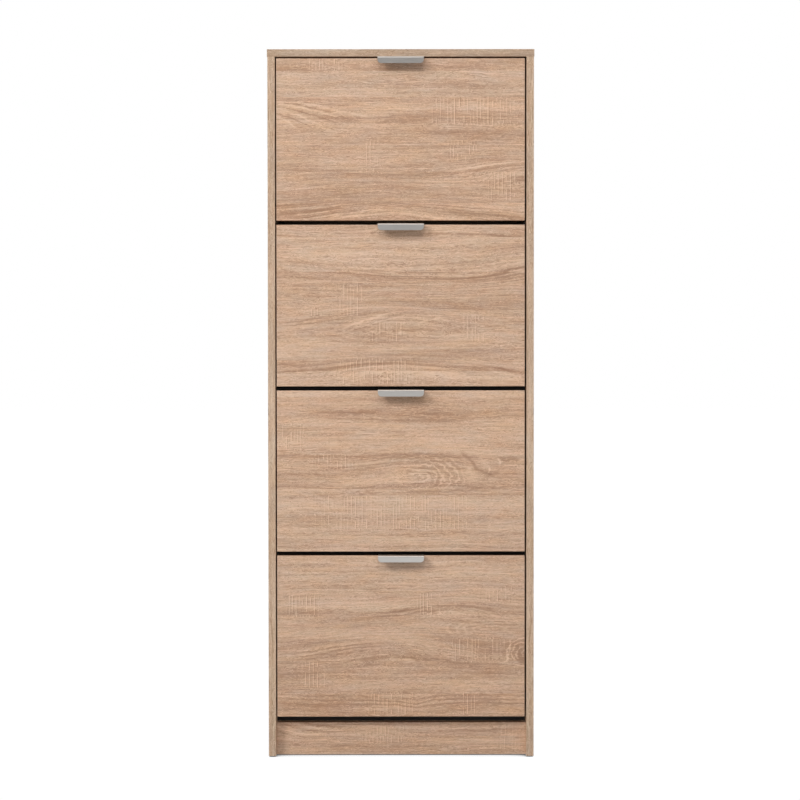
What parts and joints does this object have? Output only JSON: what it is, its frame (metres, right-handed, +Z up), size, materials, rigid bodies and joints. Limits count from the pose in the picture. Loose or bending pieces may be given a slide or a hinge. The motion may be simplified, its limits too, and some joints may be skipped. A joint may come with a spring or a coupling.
{
  "type": "shoe cabinet",
  "caption": "Tall shallow shoe cabinet with drop-front tilting flaps, lip handles, a set-back plinth and a flat top; each flap swings out from its foot.",
  "frame": {"origin": "on the floor, in the middle of the overall width and depth", "axes": "+Z up, the doors face -Y, +X is to the right as seen from the front"},
  "size_m": [0.58, 0.194, 1.54],
  "materials": {
    "oak_foil": "matt oak-look foil with a fine grain",
    "black_foil": "matt black foil",
    "hardboard": "smooth brown hardboard",
    "black_plastic": "fine moulded texture",
    "white_plastic": "satin moulded",
    "satin_aluminium": "satin, brushed lengthways",
    "zinc_steel": "bright zinc plated",
    "zinc_alloy": "die cast, slightly rough",
    "beech": "raw beech"
  },
  "bodies": {
    "carcase": {"left_side_panel": "oak_foil", "right_side_panel": "oak_foil", "top_panel": "oak_foil", "plinth": "oak_foil", "bottom_panel": "black_foil", "cross_rail_1": "black_foil", "cross_rail_2": "black_foil", "cross_rail_3": "black_foil", "back_panel_lower": "hardboard", "back_panel_upper": "hardboard", "back_joint_strip": "white_plastic", "back_panel_nails": "zinc_steel", "cam_locks": "zinc_alloy", "cam_bolts": "zinc_steel", "dowels": "beech", "floor_glides": "white_plastic", "wall_brackets": "zinc_steel", "wall_bracket_screws": "zinc_steel", "pivot_plates_left": "black_plastic", "pivot_plates_right": "black_plastic", "pivot_plate_screws": "zinc_steel"},
    "flap_1": {"flap_1_door": "oak_foil", "flap_1_handle": "satin_aluminium", "flap_1_handle_screws": "zinc_steel", "flap_1_bracket_left": "black_plastic", "flap_1_bracket_right": "black_plastic", "flap_1_bracket_screws": "zinc_steel", "flap_1_shoe_floor": "hardboard", "flap_1_shoe_back": "hardboard"},
    "flap_2": {"flap_2_door": "oak_foil", "flap_2_handle": "satin_aluminium", "flap_2_handle_screws": "zinc_steel", "flap_2_bracket_left": "black_plastic", "flap_2_bracket_right": "black_plastic", "flap_2_bracket_screws": "zinc_steel", "flap_2_shoe_floor": "hardboard", "flap_2_shoe_back": "hardboard"},
    "flap_3": {"flap_3_door": "oak_foil", "flap_3_handle": "satin_aluminium", "flap_3_handle_screws": "zinc_steel", "flap_3_bracket_left": "black_plastic", "flap_3_bracket_right": "black_plastic", "flap_3_bracket_screws": "zinc_steel", "flap_3_shoe_floor": "hardboard", "flap_3_shoe_back": "hardboard"},
    "flap_4": {"flap_4_door": "oak_foil", "flap_4_handle": "satin_aluminium", "flap_4_handle_screws": "zinc_steel", "flap_4_bracket_left": "black_plastic", "flap_4_bracket_right": "black_plastic", "flap_4_bracket_screws": "zinc_steel", "flap_4_shoe_floor": "hardboard", "flap_4_shoe_back": "hardboard"}
  },
  "joints": [
    {"name": "flap_1_tilt", "type": "hinge", "parent": "carcase", "child": "flap_1", "pos_m": [0, -0.057, 1.2125], "axis": [1, 0, 0], "range_deg": [0, 50]},
    {"name": "flap_2_tilt", "type": "hinge", "parent": "carcase", "child": "flap_2", "pos_m": [0, -0.057, 0.8525], "axis": [1, 0, 0], "range_deg": [0, 50]},
    {"name": "flap_3_tilt", "type": "hinge", "parent": "carcase", "child": "flap_3", "pos_m": [0, -0.057, 0.4925], "axis": [1, 0, 0], "range_deg": [0, 50]},
    {"name": "flap_4_tilt", "type": "hinge", "parent": "carcase", "child": "flap_4", "pos_m": [0, -0.057, 0.1325], "axis": [1, 0, 0], "range_deg": [0, 50]}
  ]
}
